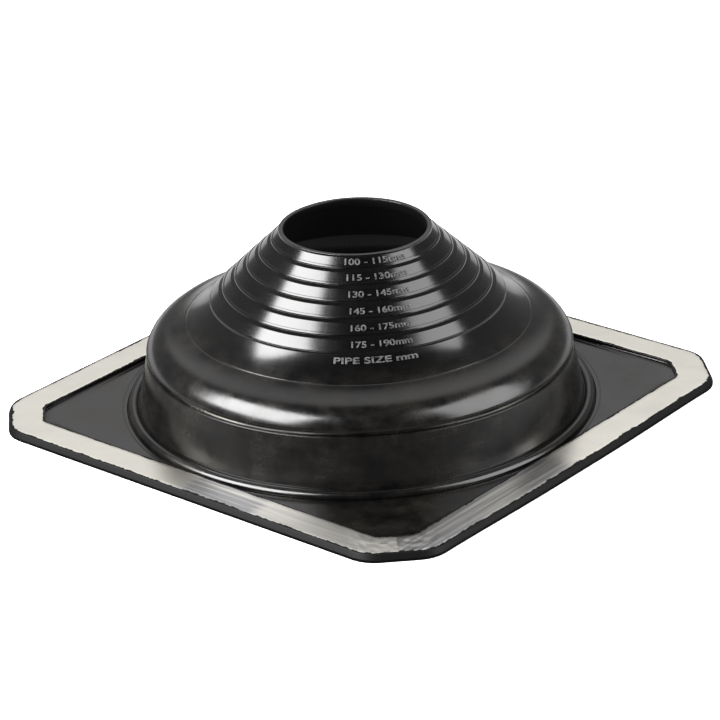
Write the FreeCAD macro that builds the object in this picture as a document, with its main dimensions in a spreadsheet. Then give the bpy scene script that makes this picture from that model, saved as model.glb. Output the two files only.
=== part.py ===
"""Pipe flashing boot: an EPDM cone and dome on a square flange edged with soft aluminium strips.

The cone is stepped, so that it can be cut off at the ring that suits the pipe. The dome lets the
cone lean on a sloping roof, and the flange is pressed to the roof sheet by its bendable strips.
The origin is the centre of the flange's underside, with +Z up along the pipe. Millimetres.
"""
import FreeCAD, Part
import math
import os
import Sketcher

SIZES = {
    # square flange; its side follows from the dome's foot and from what lies outside it
    "flange_height": 4.6,
    "flange_corner_cut": 26.4,
    "flange_corner_round": 20.0,
    "flange_bevel_width": 1.4,
    "flange_bevel_height": 2.9,
    "web_thickness": 2.2,
    "bead_gap": 1.3,
    # aluminium strips, let into the top of the flange
    "strip_margin": 2.2,
    "strip_width": 17.9,
    "strip_thickness": 0.8,
    "strip_outer_round": 18.0,
    "strip_inner_round": 7.0,
    "strip_lip": 0.8,
    "mitre_gap": 0.3,
    # sealing grooves under the flange
    "seal_margin": 4.5,
    "seal_pitch": 4.5,
    "seal_width": 2.0,
    "seal_depth": 0.8,
    # mouth and stepped cone
    "boot_height": 106.2,
    "mouth_radius": 40.2,
    "mouth_length": 5.0,
    "mouth_lip": 3.7,
    "lip_bevel": 0.6,
    "first_ring_radius": 49.5,
    "first_ring_drop": 7.4,
    "ring_spacing": 7.125,
    "ring_drop": 6.85,
    "tread_width": 2.2,
    "tread_drop": 1.4,
    "cone_wall": 3.0,
    # flare, shoulder and skirt of the dome
    "flare_round": 18.0,
    "shelf_width": 12.8,
    "shoulder_angle": 14.0,
    "shoulder_round": 15.0,
    "skirt_radius": 120.5,
    "skirt_height": 34.0,
    "skirt_step": 0.7,
    "dome_wall": 3.0,
    # half-round bead at the dome's foot
    "skirt_spread": 5.7,
    "bead_round": 3.3,
    "bead_rise": 4.0,
}
RING_COUNT = 5          # stepped rings between the mouth and the flare
SEAL_COUNT = 3          # square grooves under each side of the flange
BEAD_ANGLES = (150.0, 112.5, 75.0, 37.5, 0.0)      # corners of the bead's section, from the skirt outwards
SHOULDER_FACETS = 2     # straight runs that follow the shoulder inside the dome
SIDES = {"strip_front": 0, "strip_right": 90, "strip_back": 180, "strip_left": 270}


class Size:
    """A length or an angle: its number, and the spreadsheet formula that gives it."""

    def __init__(self, number, formula):
        self.number = number
        self.formula = formula

    @staticmethod
    def of(other):
        return other if isinstance(other, Size) else Size(other, repr(other))

    def __add__(self, other):
        other = Size.of(other)
        return Size(self.number + other.number, f"({self.formula} + {other.formula})")

    def __sub__(self, other):
        other = Size.of(other)
        return Size(self.number - other.number, f"({self.formula} - {other.formula})")

    def __mul__(self, other):
        other = Size.of(other)
        return Size(self.number * other.number, f"{self.formula} * {other.formula}")

    def __truediv__(self, other):
        other = Size.of(other)
        return Size(self.number / other.number, f"{self.formula} / {other.formula}")


def fill_sheet(doc):
    """Put every driving size into the sheet, and return them by name with those that follow from them."""
    sheet = doc.addObject("Spreadsheet::Sheet", "Sizes")
    sizes = {}
    for row, (name, number) in enumerate(SIZES.items(), start=1):
        sheet.set(f"A{row}", name)
        sheet.set(f"B{row}", str(number))
        sheet.setAlias(f"B{row}", name)
        sizes[name] = Size(number, f"Sizes.{name}")
    doc.recompute()
    sizes["foot_radius"] = sizes["skirt_radius"] + sizes["skirt_spread"]
    sizes["rim_inset"] = sizes["strip_margin"] + sizes["strip_width"] + sizes["strip_lip"]
    sizes["flange_half"] = (sizes["foot_radius"] + sizes["bead_round"] * 2
                            + sizes["bead_gap"] + sizes["rim_inset"])
    return sizes


# ---------------------------------------------------------------- sketch helpers

def new_body(doc, name):
    body = doc.addObject("PartDesign::Body", name)
    body.Label = name
    return body


def new_sketch(body, name, role):
    """An empty sketch on one of the body's own origin planes."""
    sketch = body.newObject("Sketcher::SketchObject", name)
    plane = next(feature for feature in body.Origin.OriginFeatures if feature.Role == role)
    sketch.AttachmentSupport = [(plane, "")]
    sketch.MapMode = "FlatFace"
    return sketch


def bind(sketch, kind, references, size):
    """Add a dimension to a sketch and tie it to the sheet."""
    index = sketch.addConstraint(Sketcher.Constraint(kind, *references, size.number))
    sketch.setExpression(f"Constraints[{index}]", size.formula)


def relate(sketch, kind, *references):
    sketch.addConstraint(Sketcher.Constraint(kind, *references))


def place(sketch, curve, end, across, up):
    """Fix one end of a curve at a distance across and up from the sketch's origin."""
    bind(sketch, "DistanceX", (-1, 1, curve, end), across)
    bind(sketch, "DistanceY", (-1, 1, curve, end), up)


def line(sketch, start, stop):
    return sketch.addGeometry(Part.LineSegment(FreeCAD.Vector(*start), FreeCAD.Vector(*stop)))


def arc(sketch, centre, radius, start_angle, stop_angle):
    """A counter-clockwise arc, angles in degrees."""
    circle = Part.Circle(FreeCAD.Vector(*centre), FreeCAD.Vector(0, 0, 1), radius)
    return sketch.addGeometry(Part.ArcOfCircle(circle, math.radians(start_angle), math.radians(stop_angle)))


def polyline(sketch, points):
    """Straight runs through fixed points, given as pairs of sizes. Returns the curves."""
    curves = []
    for start, stop in zip(points, points[1:]):
        curves.append(line(sketch, (start[0].number, start[1].number), (stop[0].number, stop[1].number)))
    place(sketch, curves[0], 1, *points[0])
    for curve, stop in zip(curves, points[1:]):
        place(sketch, curve, 2, *stop)
    for before, after in zip(curves, curves[1:]):
        relate(sketch, "Coincident", before, 2, after, 1)
    return curves


def polygon(sketch, points):
    """A closed outline of straight runs through fixed points."""
    curves = []
    for start, stop in zip(points, points[1:] + points[:1]):
        curves.append(line(sketch, (start[0].number, start[1].number), (stop[0].number, stop[1].number)))
    for curve, start in zip(curves, points):
        place(sketch, curve, 1, *start)
    for before, after in zip(curves, curves[1:] + curves[:1]):
        relate(sketch, "Coincident", before, 2, after, 1)


def side_run(sketch, half, cut, corner, quarter):
    """One straight side of a cut-cornered square, with the arcs that round its two ends."""
    turn = FreeCAD.Rotation(FreeCAD.Vector(0, 0, 1), 90 * quarter)
    reach = half.number - cut.number - corner.number * math.tan(math.radians(22.5))
    rise = corner.number - half.number

    def turned(across, up):
        point = turn.multVec(FreeCAD.Vector(across, up, 0))
        return point.x, point.y

    base_angle = 270 + 90 * quarter
    first = arc(sketch, turned(-reach, rise), corner.number, base_angle - 45, base_angle)
    side = line(sketch, turned(-reach, -half.number), turned(reach, -half.number))
    second = arc(sketch, turned(reach, rise), corner.number, base_angle, base_angle + 45)
    relate(sketch, "Vertical" if quarter % 2 else "Horizontal", side)
    relate(sketch, "Tangent", first, 2, side, 1)
    relate(sketch, "Tangent", side, 2, second, 1)
    relate(sketch, "Equal", first, second)
    bind(sketch, "Distance", (-1, 1, side), half)
    bind(sketch, "Radius", (first,), corner)
    return first, second


def cut_line(sketch, half, cut, start, stop, angle):
    """A line at 45 degrees across a corner of the square, as far in as the cut takes it."""
    slope = line(sketch, start, stop)
    sketch.addConstraint(Sketcher.Constraint("Angle", slope, math.radians(angle)))
    bind(sketch, "Distance", (-1, 1, slope), (half * 2 - cut) * math.sqrt(0.5))
    return slope


def octagon(sketch, half, cut, corner):
    """A square outline of given half side, its corners cut at 45 degrees and rounded."""
    runs = [side_run(sketch, half, cut, corner, quarter) for quarter in range(4)]
    for quarter in range(4):
        before = runs[quarter][1]
        after = runs[(quarter + 1) % 4][0]
        start = sketch.getPoint(before, 2)
        stop = sketch.getPoint(after, 1)
        slope = cut_line(sketch, half, cut, start[:], stop[:], 45 + 90 * quarter)
        relate(sketch, "Tangent", before, 2, slope, 1)
        relate(sketch, "Tangent", slope, 2, after, 1)


def inset_cut(sizes, inset):
    """The corner cut of an outline that lies a constant distance inside the flange's own."""
    return sizes["flange_corner_cut"] - inset * (2 - math.sqrt(2))


def inset_octagon(sketch, sizes, inset, corner):
    octagon(sketch, sizes["flange_half"] - inset, inset_cut(sizes, inset), corner)


def sharp_octagon(sketch, sizes, inset):
    """The same outline with its corners cut but not rounded."""
    half = sizes["flange_half"] - inset
    short = half - inset_cut(sizes, inset)
    corners = [(short, half), (half, short)]
    points = []
    for quarter in range(4):
        points += corners
        corners = [(up, across * -1) for across, up in corners]
    polygon(sketch, points)


# ---------------------------------------------------------------- features

def pad(body, sketch, name, length):
    feature = body.newObject("PartDesign::Pad", name)
    feature.Profile = sketch
    feature.setExpression("Length", length.formula)
    return feature


def pocket(body, sketch, name, depth, upward=False):
    feature = body.newObject("PartDesign::Pocket", name)
    feature.Profile = sketch
    feature.Reversed = upward
    feature.setExpression("Length", depth.formula)
    return feature


def edge_names(shape, wanted):
    return [f"Edge{number}" for number, edge in enumerate(shape.Edges, start=1) if wanted(edge)]


def add_flange(body, sizes):
    """The square flange: thin web, thicker rim, bevelled edge, strip recess and sealing grooves."""
    strip_inset = sizes["strip_margin"]
    rim_inset = sizes["rim_inset"]

    web = new_sketch(body, "web_outline", "XY_Plane")
    inset_octagon(web, sizes, 0, sizes["flange_corner_round"])
    hole_radius = sizes["foot_radius"] - sizes["dome_wall"]
    hole = web.addGeometry(Part.Circle(FreeCAD.Vector(), FreeCAD.Vector(0, 0, 1), hole_radius.number))
    relate(web, "Coincident", hole, 3, -1, 1)
    bind(web, "Radius", (hole,), hole_radius)
    pad(body, web, "web", sizes["web_thickness"])

    rim = new_sketch(body, "rim_outline", "XY_Plane")
    inset_octagon(rim, sizes, 0, sizes["flange_corner_round"])
    inset_octagon(rim, sizes, rim_inset, sizes["strip_inner_round"])
    rim_pad = pad(body, rim, "rim", sizes["flange_height"])
    body.Document.recompute()

    top = sizes["flange_height"].number
    outline = sizes["flange_half"].number - rim_inset.number / 2
    bevel = body.newObject("PartDesign::Chamfer", "rim_bevel")
    bevel.Base = (rim_pad, edge_names(rim_pad.Shape, lambda edge: (
        edge.BoundBox.ZMin > top - 0.01
        and max(abs(edge.CenterOfMass.x), abs(edge.CenterOfMass.y),
                (abs(edge.CenterOfMass.x) + abs(edge.CenterOfMass.y)) * 0.53) > outline)))
    bevel.ChamferType = "Two distances"
    bevel.setExpression("Size", sizes["flange_bevel_height"].formula)
    bevel.setExpression("Size2", sizes["flange_bevel_width"].formula)

    recess = new_sketch(body, "strip_recess_outline", "XY_Plane")
    recess.setExpression("AttachmentOffset.Base.z", sizes["flange_height"].formula)
    inset_octagon(recess, sizes, strip_inset, sizes["strip_outer_round"])
    inset_octagon(recess, sizes, strip_inset + sizes["strip_width"], sizes["strip_inner_round"])
    pocket(body, recess, "strip_recess", sizes["strip_thickness"])

    for number in range(SEAL_COUNT):
        inset = sizes["seal_margin"] + sizes["seal_pitch"] * number
        seal = new_sketch(body, f"seal_outline_{number + 1}", "XY_Plane")
        sharp_octagon(seal, sizes, inset)
        sharp_octagon(seal, sizes, inset + sizes["seal_width"])
        pocket(body, seal, f"seal_groove_{number + 1}", sizes["seal_depth"], upward=True)


def ring_corners(sizes):
    """The outline of the stepped cone: for each ring, the root of its tread and its nose."""
    radius = sizes["first_ring_radius"]
    height = sizes["boot_height"] - sizes["first_ring_drop"]
    corners = []
    for ring in range(RING_COUNT):
        nose = (radius + sizes["ring_spacing"] * ring, height - sizes["ring_drop"] * ring)
        root = (nose[0] - sizes["tread_width"], nose[1] + sizes["tread_drop"])
        corners += [root, nose]
    return corners


def add_boot_wall(body, sizes):
    """The wall of mouth, stepped cone, flare, shoulder, skirt and bead, turned about the pipe's axis."""
    profile = new_sketch(body, "boot_profile", "XZ_Plane")
    top = sizes["boot_height"]
    mouth = sizes["mouth_radius"]
    ledge = top - sizes["mouth_length"]
    skirt_radius = sizes["skirt_radius"]
    skirt_height = sizes["skirt_height"]
    wall = sizes["dome_wall"]

    # mouth, lip and stepped cone
    steps = polyline(profile, [(mouth, ledge), (mouth, top), (mouth + sizes["mouth_lip"], top)]
                     + ring_corners(sizes))
    last_nose = steps[-1]
    nose_x, nose_y = profile.getPoint(last_nose, 2)[:2]

    # flare, shoulder and skirt, each tangent to the next down to the ledge at the skirt's top
    slope = math.radians(sizes["shoulder_angle"].number)
    centre = (skirt_radius - sizes["shoulder_round"], skirt_height)
    centre_at = (centre[0].number, centre[1].number)
    round_out = sizes["shoulder_round"].number
    crest = (centre_at[0] + round_out * math.sin(slope), centre_at[1] + round_out * math.cos(slope))
    crease = (crest[0] - sizes["shelf_width"].number,
              crest[1] + sizes["shelf_width"].number * math.tan(slope))
    flare_slope = math.atan2(nose_y - crease[1], crease[0] - nose_x)
    reach = sizes["flare_round"].number * math.tan((flare_slope - slope) / 2)
    flare_end = (crease[0] - reach * math.cos(flare_slope), crease[1] + reach * math.sin(flare_slope))
    shelf_start = (crease[0] + reach * math.cos(slope), crease[1] - reach * math.sin(slope))
    flare_centre = (flare_end[0] + sizes["flare_round"].number * math.sin(flare_slope),
                    flare_end[1] + sizes["flare_round"].number * math.cos(flare_slope))
    degrees = math.degrees

    flare = line(profile, (nose_x, nose_y), flare_end)
    hollow = arc(profile, flare_centre, sizes["flare_round"].number,
                 270 - degrees(flare_slope), 270 - degrees(slope))
    shelf = line(profile, shelf_start, crest)
    shoulder = arc(profile, centre_at, round_out, 0, 90 - degrees(slope))
    crease_mark = profile.addGeometry(Part.Point(FreeCAD.Vector(*crease)), True)
    relate(profile, "Coincident", last_nose, 2, flare, 1)
    relate(profile, "Tangent", flare, 2, hollow, 1)
    relate(profile, "Tangent", hollow, 2, shelf, 1)
    relate(profile, "Tangent", shelf, 2, shoulder, 2)
    relate(profile, "PointOnObject", crease_mark, 1, flare)
    relate(profile, "PointOnObject", crease_mark, 1, shelf)
    bind(profile, "DistanceX", (crease_mark, 1, shoulder, 2), sizes["shelf_width"])
    bind(profile, "Angle", (shelf,), Size(-slope, f"-{sizes['shoulder_angle'].formula} * 1 deg"))
    bind(profile, "Radius", (hollow,), sizes["flare_round"])
    bind(profile, "Radius", (shoulder,), sizes["shoulder_round"])
    place(profile, shoulder, 3, *centre)
    bind(profile, "DistanceY", (-1, 1, shoulder, 1), skirt_height)

    # skirt and bead, down to the underside of the flange
    bead_radius = sizes["foot_radius"] + sizes["bead_round"]
    bead_height = sizes["web_thickness"] + sizes["bead_rise"] - sizes["bead_round"]
    bead_corners = [(bead_radius + sizes["bead_round"] * math.cos(math.radians(angle)),
                     bead_height + sizes["bead_round"] * math.sin(math.radians(angle)))
                    for angle in BEAD_ANGLES]
    foot = (bead_radius + sizes["bead_round"], Size.of(0.0))
    skirt_top = (skirt_radius - sizes["skirt_step"], skirt_height)
    ledge_under = line(profile, (skirt_radius.number, skirt_height.number),
                       (skirt_top[0].number, skirt_top[1].number))
    relate(profile, "Coincident", shoulder, 1, ledge_under, 1)
    side = polyline(profile, [skirt_top] + bead_corners + [foot])
    relate(profile, "Coincident", ledge_under, 2, side[0], 1)

    # inside of the dome, at the dome's wall, in straight runs under the shoulder
    round_in = sizes["shoulder_round"] - wall
    underside = [foot, (sizes["foot_radius"] - wall, Size.of(0.0))]
    for facet in range(SHOULDER_FACETS):
        turn = math.radians((90 - sizes["shoulder_angle"].number) * facet / SHOULDER_FACETS)
        tilt = f"(90 - {sizes['shoulder_angle'].formula}) * {facet / SHOULDER_FACETS} * 1 deg"
        underside.append((centre[0] + round_in * Size(math.cos(turn), f"cos({tilt})"),
                          centre[1] + round_in * Size(math.sin(turn), f"sin({tilt})")))
    inside = []
    for start, stop in zip(underside, underside[1:]):
        inside.append(line(profile, (start[0].number, start[1].number), (stop[0].number, stop[1].number)))
        place(profile, inside[-1], 2, *stop)
    relate(profile, "Coincident", side[-1], 2, inside[0], 1)
    for before, after in zip(inside, inside[1:]):
        relate(profile, "Coincident", before, 2, after, 1)

    # inside of the shelf, flare and cone, up to the ledge under the mouth's thicker lip
    inner_crest = (centre_at[0] + round_in.number * math.sin(slope),
                   centre_at[1] + round_in.number * math.cos(slope))
    root_x, root_y = profile.getPoint(steps[2], 2)[:2]
    low_x, low_y = profile.getPoint(steps[-1], 1)[:2]
    cone_slope = math.atan2(root_y - low_y, low_x - root_x)
    behind_root = root_x - sizes["cone_wall"].number / math.sin(cone_slope)
    lip_root = (behind_root + (root_y - ledge.number) / math.tan(cone_slope), ledge.number)
    flare_root = (behind_root + (root_y - nose_y) / math.tan(cone_slope), nose_y)
    run = (inner_crest[1] - flare_root[1] + (inner_crest[0] - flare_root[0]) * math.tan(slope)) / (
        math.tan(slope) - math.tan(flare_slope))
    inner_crease = (flare_root[0] + run, flare_root[1] - run * math.tan(flare_slope))
    under_shoulder = line(profile, profile.getPoint(inside[-1], 2)[:], inner_crest)
    inner_shelf = line(profile, inner_crest, inner_crease)
    inner_flare = line(profile, inner_crease, flare_root)
    inner_cone = line(profile, flare_root, lip_root)
    lip_under = line(profile, lip_root, (mouth.number, ledge.number))
    chain = (inside[-1], under_shoulder, inner_shelf, inner_flare, inner_cone, lip_under, steps[0])
    for before, after in zip(chain, chain[1:]):
        relate(profile, "Coincident", before, 2, after, 1)
    relate(profile, "Horizontal", lip_under)
    relate(profile, "Parallel", inner_flare, flare)
    relate(profile, "Horizontal", inner_flare, 2, last_nose, 2)
    relate(profile, "Parallel", inner_shelf, shelf)
    bind(profile, "Distance", (shoulder, 2, inner_shelf), wall)
    crest_line = line(profile, crest, inner_crest)
    profile.setConstruction(crest_line, True)
    relate(profile, "Coincident", crest_line, 1, shoulder, 2)
    relate(profile, "Coincident", crest_line, 2, inner_shelf, 1)
    relate(profile, "Perpendicular", crest_line, shelf)

    # the cone's inside runs parallel to the roots of the treads
    roots = line(profile, (root_x, root_y), (low_x, low_y))
    profile.setConstruction(roots, True)
    relate(profile, "Coincident", steps[2], 2, roots, 1)
    relate(profile, "Coincident", steps[-1], 1, roots, 2)
    relate(profile, "Parallel", roots, inner_cone)
    bind(profile, "Distance", (steps[-1], 1, inner_cone), sizes["cone_wall"])

    wall_turned = body.newObject("PartDesign::Revolution", "boot_wall")
    wall_turned.Profile = profile
    wall_turned.ReferenceAxis = (profile, ["V_Axis"])
    wall_turned.Angle = 360
    return wall_turned


def bevel_lip(body, base, sizes):
    """Break the outer edge of the mouth's lip."""
    body.Document.recompute()
    lip_radius = (sizes["mouth_radius"] + sizes["mouth_lip"]).number
    bevel = body.newObject("PartDesign::Chamfer", "lip_edge")
    bevel.Base = (base, edge_names(base.Shape, lambda edge: (
        isinstance(edge.Curve, Part.Circle) and abs(edge.Curve.Radius - lip_radius) < 0.001)))
    bevel.setExpression("Size", sizes["lip_bevel"].formula)


def make_boot(doc, sizes):
    """The whole moulding, from flange to mouth, is one piece of EPDM rubber."""
    body = new_body(doc, "rubber_boot")
    add_flange(body, sizes)
    wall = add_boot_wall(body, sizes)
    bevel_lip(body, wall, sizes)
    return body


def make_strip(doc, sizes, name, turn):
    """One side of the aluminium edging, mitred at 45 degrees against its neighbours."""
    body = new_body(doc, name)
    sketch = new_sketch(body, f"{name}_outline", "XY_Plane")
    sketch.setExpression("AttachmentOffset.Base.z",
                         (sizes["flange_height"] - sizes["strip_thickness"]).formula)
    outer_inset = sizes["strip_margin"]
    inner_inset = outer_inset + sizes["strip_width"]
    half_gap = sizes["mitre_gap"] / 2
    ends = []
    for inset, corner in ((outer_inset, "strip_outer_round"), (inner_inset, "strip_inner_round")):
        half = sizes["flange_half"] - inset
        cut = inset_cut(sizes, inset)
        diagonal = half.number - cut.number / 2
        across = diagonal - half_gap.number
        up = -diagonal - half_gap.number
        first, second = side_run(sketch, half, cut, sizes[corner], 0)
        left = cut_line(sketch, half, cut, (-across, up), sketch.getPoint(first, 1)[:], -45)
        right = cut_line(sketch, half, cut, sketch.getPoint(second, 2)[:], (across, up), 45)
        relate(sketch, "Tangent", left, 2, first, 1)
        relate(sketch, "Tangent", second, 2, right, 1)
        ends.append((left, right))
    (outer_left, outer_right), (inner_left, inner_right) = ends
    for outer, inner, end, angle in ((outer_left, inner_left, 1, 45), (outer_right, inner_right, 2, 135)):
        mitre = line(sketch, sketch.getPoint(outer, end)[:], sketch.getPoint(inner, end)[:])
        relate(sketch, "Coincident", outer, end, mitre, 1)
        relate(sketch, "Coincident", mitre, 2, inner, end)
        sketch.addConstraint(Sketcher.Constraint("Angle", mitre, math.radians(angle)))
        bind(sketch, "Distance", (-1, 1, mitre), half_gap)
    pad(body, sketch, f"{name}_sheet", sizes["strip_thickness"])
    body.Placement.Rotation = FreeCAD.Rotation(FreeCAD.Vector(0, 0, 1), turn)
    return body


def check(doc, bodies):
    """Stop before anything is written if a feature failed or a body is not one sound solid."""
    failed = [item.Label for item in doc.Objects if {"Invalid", "Error"} & set(item.State)]
    if failed:
        raise RuntimeError(f"features that failed: {failed}")
    for body in bodies:
        shape = body.Shape
        if shape.isNull() or not shape.isValid() or len(shape.Solids) != 1:
            raise RuntimeError(f"{body.Label} is not one valid solid")


def main():
    doc = FreeCAD.newDocument("flashing_boot")
    sizes = fill_sheet(doc)
    bodies = [make_boot(doc, sizes)]
    for name, turn in SIDES.items():
        bodies.append(make_strip(doc, sizes, name, turn))
    doc.recompute()
    check(doc, bodies)
    os.makedirs("parts", exist_ok=True)
    for body in bodies:
        body.Shape.exportStep(f"parts/{body.Label}.step")
        box = body.Shape.BoundBox
        print(body.Label, round(body.Shape.Volume), "mm3", [round(length, 2) for length in (
            box.XMin, box.XMax, box.YMin, box.YMax, box.ZMin, box.ZMax)])


main()
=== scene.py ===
"""Looks of a pipe flashing boot: a stepped rubber cone and dome on a square, aluminium-edged flange.

Every piece is made round the frame's own origin, with +Z up along the pipe. Lengths are in metres.
"""
import math

import bpy
from bpy.props import FloatProperty, FloatVectorProperty, IntProperty, PointerProperty
from mathutils import Matrix, Vector


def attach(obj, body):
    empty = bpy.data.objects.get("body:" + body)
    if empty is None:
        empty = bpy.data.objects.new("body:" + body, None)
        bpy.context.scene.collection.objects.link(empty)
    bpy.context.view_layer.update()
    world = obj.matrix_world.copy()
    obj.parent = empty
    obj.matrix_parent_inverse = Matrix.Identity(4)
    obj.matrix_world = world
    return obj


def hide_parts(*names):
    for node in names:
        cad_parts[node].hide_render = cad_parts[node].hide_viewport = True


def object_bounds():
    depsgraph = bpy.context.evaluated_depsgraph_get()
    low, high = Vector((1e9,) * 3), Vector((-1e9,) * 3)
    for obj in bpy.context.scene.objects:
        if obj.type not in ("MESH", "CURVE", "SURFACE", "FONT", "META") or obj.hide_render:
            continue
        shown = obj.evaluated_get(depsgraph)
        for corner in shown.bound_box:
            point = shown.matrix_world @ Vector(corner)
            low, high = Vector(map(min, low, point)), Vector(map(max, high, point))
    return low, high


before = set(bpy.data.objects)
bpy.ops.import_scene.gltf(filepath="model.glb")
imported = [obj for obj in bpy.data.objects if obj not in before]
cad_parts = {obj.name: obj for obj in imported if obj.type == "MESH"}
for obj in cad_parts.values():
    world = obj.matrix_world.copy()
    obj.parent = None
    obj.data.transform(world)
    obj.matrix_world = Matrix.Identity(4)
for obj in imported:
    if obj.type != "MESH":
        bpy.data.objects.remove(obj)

bl_info = {
    "name": "Pipe flashing boot",
    "version": (1, 0, 0),
    "blender": (4, 5, 0),
    "location": "3D View > Sidebar > Flashing",
    "description": "Rubber boot, aluminium edging, size marks and a plain stage",
    "category": "Object",
}

MM = 0.001
CAD_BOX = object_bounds()
BODY = "root"
SIDES = {"front": 270, "right": 0, "back": 90, "left": 180}     # each side's outward way, in degrees
PIPE_SIZES = (100, 115, 130, 145, 160, 175, 190)                # plain numbers for the bands, in mm
LEGEND = "PIPE SIZE mm"

# The moulding's section
ROUND = {name: radius * MM for name, radius in (
    ("mouth", 0.7), ("lip", 0.3), ("lip foot", 0.2), ("rib foot", 0.08), ("rib top", 0.15),
    ("rib end", 0.3), ("tread", 0.12), ("nose", 0.45), ("fine line", 0.08), ("skirt ledge", 0.1),
    ("skirt top", 0.3), ("bead root", 0.2), ("bead groove", 0.2), ("web", 0.15), ("rim step", 0.3),
    ("recess", 0.1), ("bevel", 0.5), ("underside", 0.3), ("inside corner", 11.0))}
FINE_LINE = ((-0.35 * MM, 0.0), (0.0, 0.35 * MM),               # distance past the last band, and depth
             (0.35 * MM, 0.1 * MM), (1.3 * MM, 0.75 * MM))
NOTCH = ((-1, 0.0), (-0.4, 0.35), (0, 1.0), (0.4, 0.35), (1, 0.0))  # shares of half width and of depth
NOTCH_HALF_WIDTH = 0.6 * MM
EDGE_SHARE = 0.97                                               # of an edge, for the rounds at its ends
ARC_TURN = math.radians(22)                                     # widest turn from point to point
ARC_LENGTH = 1.6 * MM                                           # longest way from point to point
RUN_LENGTH = 6 * MM                                             # the same on straight runs

# Small unevenness
PINCHES = ((2, 1.2, 0.35 * MM), (3, 0.4, 0.3 * MM))             # waves round the mouth: count, start, size
PINCH_DEPTH = 40 * MM                                           # how far down the cone they fade away
WAVINESS = 0.5 * MM                                             # of the turned part
RIPPLE = 0.35 * MM                                              # of the strips

# Places of finishes
INSIDE_SLOPE = 1.03                                             # radius gained for each unit of depth inside
INSIDE_FLOOR = 60 * MM                                          # height at which the dull inside ends
WEB_LINE = 135.6 * MM                                           # radius of a faint line on the web

# The stage
DARK = (0, 0, 0, 1)
WHITE = (1, 1, 1, 1)
SOFTBOXES = {   # degrees round from the camera, degrees up, metres away, width and height in metres
    "key": {"turn": -63, "elevation": 37, "distance": 1.3, "size": (1.2, 0.82)},
    "fill": {"turn": 68, "elevation": 28, "distance": 1.4, "size": (1.1, 1.25)},
}


# ---------------------------------------------------------------- sizes and colours

def length(name, millimetres, description):
    return FloatProperty(name=name, default=millimetres * MM, description=description, unit="LENGTH")


def angle(name, degrees, description):
    return FloatProperty(name=name, default=math.radians(degrees), description=description, unit="ROTATION")


def whole(name, default, description):
    return IntProperty(name=name, default=default, description=description, min=1)


def plain(name, default, description):
    return FloatProperty(name=name, default=default, description=description)


def power(name, watts, description):
    return FloatProperty(name=name, default=watts, description=description, unit="POWER")


def colour(name, rgb, description):
    return FloatVectorProperty(name=name, default=rgb, description=description, size=3, subtype="COLOR")


def share(name, default, description):
    return FloatProperty(name=name, default=default, description=description, min=0, max=1,
                         subtype="FACTOR")


class BootSizes(bpy.types.PropertyGroup):
    """Sizes of the turned part of the boot."""
    segments: whole("Segments", 360, "Divisions round the axis")
    height: length("Height", CAD_BOX[1][2] / MM, "Underside to lip")
    mouth_radius: length("Mouth radius", 40.2, "Radius of the opening")
    mouth_length: length("Mouth length", 5.0, "Depth of the opening's straight wall")
    ring_count: whole("Rings", 5, "Steps between mouth and flare")
    ring_radius: length("First ring radius", 49.5, "Radius of the first ring's nose")
    ring_start: length("First ring drop", 7.4, "First ring's nose below the lip")
    ring_spacing: length("Ring spacing", 7.125, "Growth in radius from ring to ring")
    ring_drop: length("Ring drop", 6.85, "Drop from ring to ring")
    tread_width: length("Tread width", 2.2, "Width of each step")
    tread_drop: length("Tread drop", 1.4, "Fall of each step")
    rib_width: length("Rib width", 1.0, "Width of the cutting rib above each step")
    rib_height: length("Rib height", 0.35, "Height of the cutting rib")
    rib_gap: length("Rib gap", 0.55, "From the rib to the step below it")
    cone_wall: length("Cone wall", 3.0, "Thickness of the cone")
    line_radius: length("Fine line radius", 82.9, "Where a fine groove ends the last band")
    shelf_width: length("Shelf width", 12.0, "From the crease to the start of the shoulder")
    crease_notch: length("Crease notch", 0.22, "Depth of the fine line at the foot of the cove")
    notch_radius: length("Notch radius", 97.3, "Radius of that line")
    lip_radius: length("Lip radius", 43.0, "Outer radius of the lip")
    lip_drop: length("Lip drop", 1.3, "Height of the lip's outer edge")
    shoulder_angle: angle("Shoulder angle", 14.0, "Slope of the dome's top")
    shoulder_round: length("Shoulder round", 17.0, "Radius of the dome's shoulder")
    tuck_round: length("Tuck round", 6.0, "Smaller radius where the shoulder rolls under")
    tuck_start: angle("Tuck start", 20.0, "Slope at which the smaller radius takes over")
    undercut: angle("Undercut", 21.0, "How far the shoulder rolls under itself above the skirt")
    skirt_radius: length("Skirt radius", 120.5, "Radius at the top of the skirt")
    skirt_height: length("Skirt height", 34.0, "Height of the skirt's upper edge")
    skirt_step: length("Skirt step", 0.7, "Ledge under the shoulder")
    skirt_spread: length("Skirt spread", 5.7, "Growth in radius down the skirt")
    dome_wall: length("Dome wall", 3.0, "Thickness of the dome")
    bead_round: length("Bead round", 3.3, "Radius of the bead at the dome's foot")
    bead_rise: length("Bead rise", 4.0, "Bead above the flange's web")
    bead_groove: length("Bead groove", 0.5, "Depth of the groove round the bead")
    bead_gap: length("Bead gap", 0.7, "Width of that groove")


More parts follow.
